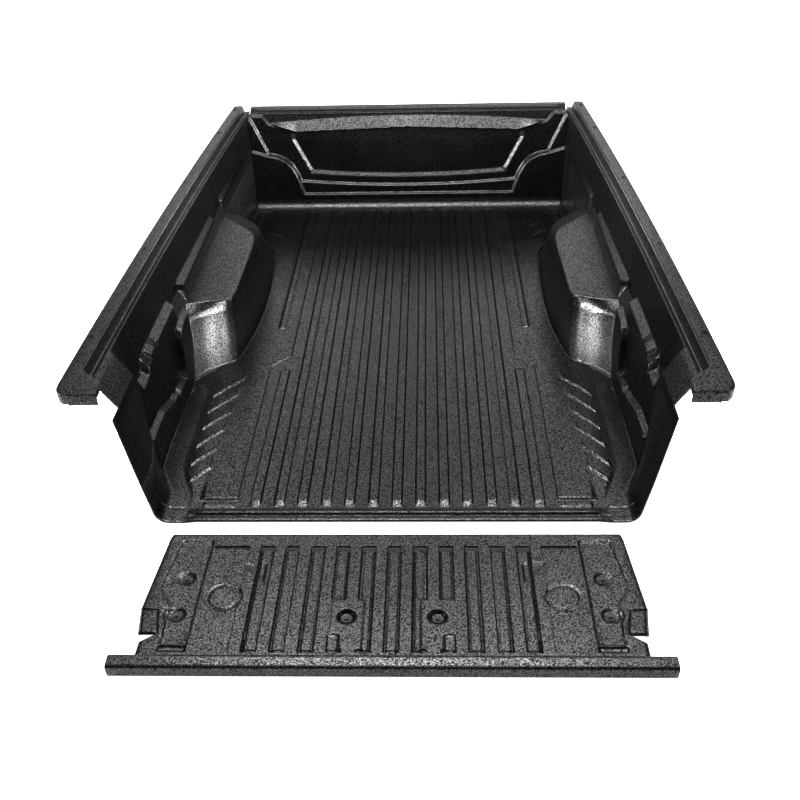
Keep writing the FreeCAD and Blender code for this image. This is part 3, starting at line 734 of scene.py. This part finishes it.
def build_side_rails(plastic):
    """Over-rail caps: skirt, land, step and beaded ledge, rounded and widened at the rear end."""
    end_bends = [RAIL_REAR + step for step in (3, 9, 18, 30)] + [20, 45, 60, 72, 84, 100]
    y = lines(RAIL_REAR, RAIL_FRONT, 16, end_bends, 3)
    back = np.clip((RAIL_REAR + 50 - y) / 50, 0, 1)
    outer = rail_line(y) - 40 * (1 - np.sqrt(1 - back**2))
    line = rail_line(y)
    land_in = stations(y, [(RAIL_REAR, 716), (14, 719), (34, 726), (58, 752), (76, 776), (100, 784)], 5)
    land_in = np.where(y < 100, np.minimum(land_in, line - RAIL_LAND + 4), line - RAIL_LAND)
    step_z = stations(y, [(RAIL_REAR, RAIL_TOP - 8), (56, RAIL_TOP - 8), (84, LEDGE)])
    ledge_in = np.where(y < 80, np.minimum(land_in - 3, line - RAIL_TOTAL + 60 * (1 - ramp(y, 50, 80))),
                        line - RAIL_TOTAL)
    ledge_in = np.minimum(ledge_in, land_in - 2)
    width = ledge_in - land_in
    bead = 4.0 * ramp(y, 70, 100)

    def guide(x, z):
        return np.stack([x, y, np.broadcast_to(z, y.shape)], -1)

    guides = [
        guide(outer - 1, RAIL_TOP - RAIL_SKIRT),
        guide(outer, RAIL_TOP - 1.5),
        guide(outer - 10, RAIL_TOP),
        guide(land_in, RAIL_TOP),
        guide(land_in + 0.30 * width, step_z - 2.4 * bead),
        guide(land_in + 0.50 * width, step_z - bead),
        guide(land_in + 0.70 * width, step_z - 2 * bead),
        guide(land_in + 0.92 * width, step_z - bead),
        guide(ledge_in, step_z - 2 * bead),
    ]
    grid = rounded_path(guides, [9, 6, 3, 3, 2, 2, 2], 4)
    end = grid[:, :1].copy()
    end[:, :, 2] = np.minimum(end[:, :, 2], RAIL_TOP - RAIL_SKIRT)
    middle = grid[:, :1].copy()
    middle[:, :, 2] -= 1.5
    grid[:, 0, 1] += 3
    grid = np.concatenate([end, middle, grid], axis=1)
    for side, turn in SIDES:
        skin(side + "_rail_skin", turn(grid), "tub", [side + "_rail_cap"], plastic,
             flip=side == "right")


def build_front_rail(plastic):
    """The same cap across the front wall, with a single bead on its ledge."""
    x = lines(-FRONT_RAIL_HALF, FRONT_RAIL_HALF, 30)
    wall_top = LENGTH + 11

    def guide(y, z):
        return np.stack([x, np.broadcast_to(y, x.shape), np.full_like(x, z)], -1)

    guides = [
        guide(RAIL_FRONT - 1, RAIL_TOP - RAIL_SKIRT),
        guide(RAIL_FRONT, RAIL_TOP - 1.5),
        guide(RAIL_FRONT - 8, RAIL_TOP),
        guide(RAIL_FRONT - 36, RAIL_TOP),
        guide(RAIL_FRONT - 38, LEDGE),
        guide(RAIL_FRONT - 43, LEDGE),
        guide(RAIL_FRONT - 46, LEDGE + 3.5),
        guide(RAIL_FRONT - 50, LEDGE),
        guide(wall_top, LEDGE),
        guide(wall_top - 0.5, LEDGE - 5),
    ]
    grid = rounded_path(guides, [8, 6, 4, 3, 3, 3, 3, 2], 4)
    skin("front_rail_skin", grid, "tub", ["front_rail_cap"], plastic)


# ---------------------------------------------------------------- tailgate liner

GATE_SHEET = 3.5
GATE_RIB_PITCH = 64.9
GATE_RIB_WIDTH = 33.0
GATE_INNER = 470.0
FIELD_REAR = -466.0
FIELD_FRONT = -117.0
END_FIELD = 466.0
WELLS = ((512, -230, 24), (512, -350, 24), (107, -358, 22))


def gate_half(y):
    """Half width of the tailgate liner's panel, cut in beside the latches."""
    return stations(-y, [(67, 572), (74, 584), (90, 587), (333, 603), (336, 565), (411, 549),
                         (436, 583), (479, 583)])


def ring(x, y, centre_x, centre_y, radius):
    """Distance outwards from a circle."""
    return np.hypot(np.abs(x) - centre_x, y - centre_y) - radius


def gate_ribs(x):
    """1 on the twelve ribs, and 1 in the narrow seams that run beside them."""
    ribs = np.zeros_like(x)
    seams = np.zeros_like(x)
    half = GATE_RIB_WIDTH / 2
    for number in range(12):
        across = np.abs(x - (number - 5.5) * GATE_RIB_PITCH)
        ribs = np.maximum(ribs, 1 - ramp(across, half - 2, half + 1))
        seams = np.maximum(seams, strip(across, half - 1, half + 4, 2))
    return ribs, seams


def ribbed_field(x, y):
    """Depth of the tailgate liner's middle below its top: valleys, seams, end slots and slanting cuts."""
    a = np.abs(x)
    field = strip(a, -10, 462, 3) * strip(y, FIELD_REAR, FIELD_FRONT, 5)
    field *= 1 - ramp(a, 371, 375) * (1 - ramp(y, -124, -121))
    ribs, seams = gate_ribs(x)
    slant = -187 - (373 - a) * 59 / 56
    cut = strip(a, 317, 376, 4) * ramp(y, slant - 3, slant + 3) * (y < -187 + 8)
    pad = strip(a, 66, 148, 3) * (1 - ramp(y, -304, -298))
    arch = (a - 133) ** 2 / 30
    tab = strip(a, 118, 148, 4) * (1 - ramp(y, -414 - arch, -408 - arch))
    filled = np.maximum(ribs, pad) * (1 - tab)
    slots = np.maximum(strip(y, -127, -114, 3), strip(y, -468, -458, 3)) * (1 - ribs)
    return field * (3.5 * (1 - filled) + 3.5 * seams * (1 - pad) + 8 * slots + 3.5 * cut)


def end_fields(a, y):
    """Depth of the sunken field at each end, whose outer edge jogs round the latch."""
    jog = stations(-y, [(67, 545), (240, 566), (270, 566), (312, 540), (320, 536), (448, 530)])
    ends = strip(a, END_FIELD, 700, 3) * (1 - ramp(a, jog - 3, jog)) * strip(y, -446, -96, 5)
    return 5 * ends + 5 * strip(a, END_FIELD, 536, 4) * strip(y, -466, -446, 5)


def gate_height(x, y):
    """Height of the tailgate liner's top face."""
    a = np.abs(x)
    height = GATE_TOP - ribbed_field(x, y) - end_fields(a, y)
    height -= 3.0 * (1 - ramp(np.abs(ring(x, y, 408, -296, 40)), 1, 4))
    for centre_x, centre_y, radius in WELLS:
        away = ring(x, y, centre_x, centre_y, radius)
        lip = GATE_TOP - 5 * (centre_x > END_FIELD)
        height = height + (lip - height) * (1 - ramp(away, 3, 9))
        well = GATE_TOP - 9 + 9 * ramp(away, -5, 0.5)
        height = np.where(away < 0.5, np.minimum(height, well), height)
    rim = np.minimum(gate_half(y) - a, -GATE_FAR - y)
    return 4 + (height - 4) * np.clip(stations(rim, [(0, 0.0), (1.5, 0.7), (4, 0.92), (9, 1.0)]), 0, 1)


def build_tailgate_panel(plastic):
    """One grid whose outer columns follow the panel's notched ends."""
    rib_edges = [(n - 5.5) * GATE_RIB_PITCH + s * GATE_RIB_WIDTH / 2 for n in range(12) for s in (-1, 1)]
    inner = lines(-GATE_INNER, GATE_INNER, 4.5, rib_edges + [-464, 464], 1.8)
    bends = [-68.5, -71, FIELD_FRONT, FIELD_REAR, -448, -334, -412, -436]
    y = lines(-480, -GATE_FAR, 4.5, bends, 1.8)[::-1]
    half = gate_half(y)
    share = np.concatenate([np.linspace(0, 1, 30)[1:-1] * 0.93, [0.945, 0.965, 0.985, 1.0]])
    outer = GATE_INNER + share[None, :] * (half[:, None] - GATE_INNER)
    x = np.hstack([-outer[:, ::-1], np.repeat(inner[None, :], len(y), 0), outer])
    yy = np.repeat(y[:, None], x.shape[1], 1)
    grid = np.stack([x, yy, gate_height(x, yy)], -1)
    skin("tailgate_panel_skin", grid, "tailgate_liner", ["tailgate_panel"],
         plastic, thickness=GATE_SHEET)


def build_tailgate_lip(plastic):
    """The lip over the tailgate's top edge, one cross-section carried along x."""
    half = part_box("tailgate_lip")[1].x / MM
    x = lines(-half, half, 40, [-half + 2, half - 2], 1.5)
    sections = [(-470, 21), (-478, 24), (-487, 41), (-494, 45), (-519, 43), (-525, 38), (-520, 8)]

    def guide(y, z):
        return np.stack([x, np.full_like(x, float(y)), np.full_like(x, float(z))], -1)

    grid = rounded_path([guide(y, z) for y, z in sections], [6, 8, 8, 5, 5], 4)
    skin("tailgate_lip_skin", grid, "tailgate_liner", ["tailgate_lip"],
         plastic, thickness=GATE_SHEET)


def build_latch_flaps(plastic):
    """Flaps beside the latches, a little lower round their rims."""
    y = lines(-411, -333, 6, [-409, -335], 1.5)
    share = np.linspace(0.0, 1.0, 9)
    inner = stations(-y, [(333, 556), (411, 541)])
    outer = stations(-y, [(333, 600), (400, 590), (411, 588)])
    x = inner[:, None] + share[None, :] * (outer - inner)[:, None]
    yy = np.repeat(y[:, None], x.shape[1], 1)
    rim = np.minimum(np.minimum(x - inner[:, None], outer[:, None] - x), np.minimum(yy + 411, -333 - yy))
    z = GATE_TOP - 4 + 4 * ramp(rim, 0, 6)
    grid = np.stack([x, yy, z], -1)
    for side, turn in SIDES:
        skin(side + "_flap_skin", turn(grid), "tailgate_liner", [side + "_latch_flap"],
             plastic, flip=side == "right", thickness=6)


# ---------------------------------------------------------------- fixings, stage and camera

def finish_cad_nodes():
    """Materials for the fasteners and foam, whose CAD shapes are shown as they are."""
    screw = coated_steel("black_screw_steel", 0.03, 0.35, 0.6)
    washer = coated_steel("black_washer_steel", 0.025, 0.45, 0.5)
    zinc = coated_steel("zinc_clip_steel", 0.5, 0.35, 1.0)
    foam = cell_foam("closed_cell_foam")
    for name, node in frame["nodes"].items():
        for word, material in (("screws", screw), ("washers", washer), ("nuts", zinc), ("foam", foam)):
            if word in name:
                node.data.materials.clear()
                node.data.materials.append(material)


def build_room():
    """A plain pale floor with low pale walls far away, and a nearly dark sky."""
    mesh = bpy.data.meshes.new("studio_floor")
    reach = 90.0
    square = ((-reach, -reach), (reach, -reach), (reach, reach), (-reach, reach))
    corners = [(x, y, z) for z in (-0.001, 22.0) for x, y in square]
    walls = [(n, (n + 1) % 4, (n + 1) % 4 + 4, n + 4) for n in range(4)]
    mesh.from_pydata(corners, [], [(0, 1, 2, 3)] + walls)
    floor = bpy.data.objects.new("studio_floor", mesh)
    bpy.context.scene.collection.objects.link(floor)
    paper = bpy.data.materials.new("studio_paper")
    paper.use_nodes = True
    shader = paper.node_tree.nodes["Principled BSDF"]
    shader.inputs["Base Color"].default_value = (0.85, 0.85, 0.85, 1.0)
    shader.inputs["Roughness"].default_value = 0.9
    shader.inputs["Emission Color"].default_value = (1.0, 1.0, 1.0, 1.0)
    shader.inputs["Emission Strength"].default_value = 0.75
    mesh.materials.append(paper)
    world = bpy.data.worlds.new("studio")
    world.use_nodes = True
    world.node_tree.nodes["Background"].inputs["Color"].default_value = (1.0, 1.0, 1.0, 1.0)
    world.node_tree.nodes["Background"].inputs["Strength"].default_value = 0.01
    bpy.context.scene.world = world


def build_lights():
    """Two softboxes above, and pairs that catch the floor, tailgate liner, ridges, rails and arches."""
    soft_light("key_softbox", (0.0, 0.1, 3.4), (0, 0.5, 0), 2.4, 1.4, 170)
    soft_light("front_softbox", (0.0, -1.5, 3.6), (0, 1.1, 0.3), 2.4, 0.8, 60)
    for side in (-1, 1):
        soft_light("back_softbox", (1.0 * side, 4.6, 2.8), (0, 0, 0.3), 1.6, 1.6, 22)
        soft_light("gate_softbox", (2.6 * side, 4.4, 6.2), (0, -1.35, 0), 1.5, 1.2, 65)
        soft_light("ridge_softbox", (3.0 * side, -0.4, 1.3), (-0.55 * side, 1.1, 0.3), 2.2, 0.6, 40, 60)
        soft_light("rail_strip", (0.87 * side, -0.5, 2.4), (0.86 * side, -0.45, 0.3), 0.08, 1.8, 3, 7)
        soft_light("arch_spot", (0.12 * side, -1.0, 0.12), (0.585 * side, -0.33, 0.09), 0.15, 0.08, 0.9, 20)


def soft_light(name, position, target, width, height, power, spread=180):
    """A rectangular area light aimed at a point, its beam narrowed to spread degrees."""
    light = bpy.data.lights.new(name, "AREA")
    light.shape = "RECTANGLE"
    light.size = width
    light.size_y = height
    light.energy = power
    light.spread = math.radians(spread)
    lamp = bpy.data.objects.new(name, light)
    bpy.context.scene.collection.objects.link(lamp)
    lamp.location = position
    lamp.visible_camera = False
    aim = np.array(target, float) - np.array(position, float)
    yaw = math.atan2(aim[1], aim[0]) - math.pi / 2
    pitch = math.atan2(math.hypot(aim[0], aim[1]), -aim[2])
    lamp.rotation_euler = (pitch, 0.0, yaw)


def build_camera():
    """The camera stands behind the tailgate and looks down into the tub."""
    heading = 2.11
    dip = 34.02
    roll = -1.46
    data = bpy.data.cameras.new("camera")
    data.sensor_width = 36.0
    data.lens = 42.94
    camera = bpy.data.objects.new("camera", data)
    bpy.context.scene.collection.objects.link(camera)
    camera.location = (0.0893, -1.9249 + SILL * MM, 1.6961)
    look = turned(heading, "Z") @ turned(90 - dip, "X") @ turned(roll, "Z")
    camera.rotation_euler = look.to_euler()
    bpy.context.scene.camera = camera


def turned(degrees, axis):
    """A turn about one axis."""
    return Matrix.Rotation(math.radians(degrees), 3, axis)


def main():
    tub_plastic = moulded_plastic("tub_polyethylene", 0.003)
    # Painted light: the tailgate liner's plastic is painted twice as pale as the tub's, for the light the
    # tailgate catches.
    gate_plastic_painted_paler = moulded_plastic("gate_polyethylene_painted_paler", 0.006)
    build_floor(tub_plastic)
    build_side_walls(tub_plastic)
    build_arch_covers(tub_plastic)
    build_front_wall(tub_plastic)
    build_side_rails(tub_plastic)
    build_front_rail(tub_plastic)
    build_tailgate_panel(gate_plastic_painted_paler)
    build_tailgate_lip(gate_plastic_painted_paler)
    build_latch_flaps(gate_plastic_painted_paler)
    finish_cad_nodes()
    build_room()
    build_lights()
    build_camera()
    view = bpy.context.scene.view_settings
    view.view_transform = "Standard"
    view.look = "High Contrast"


main()
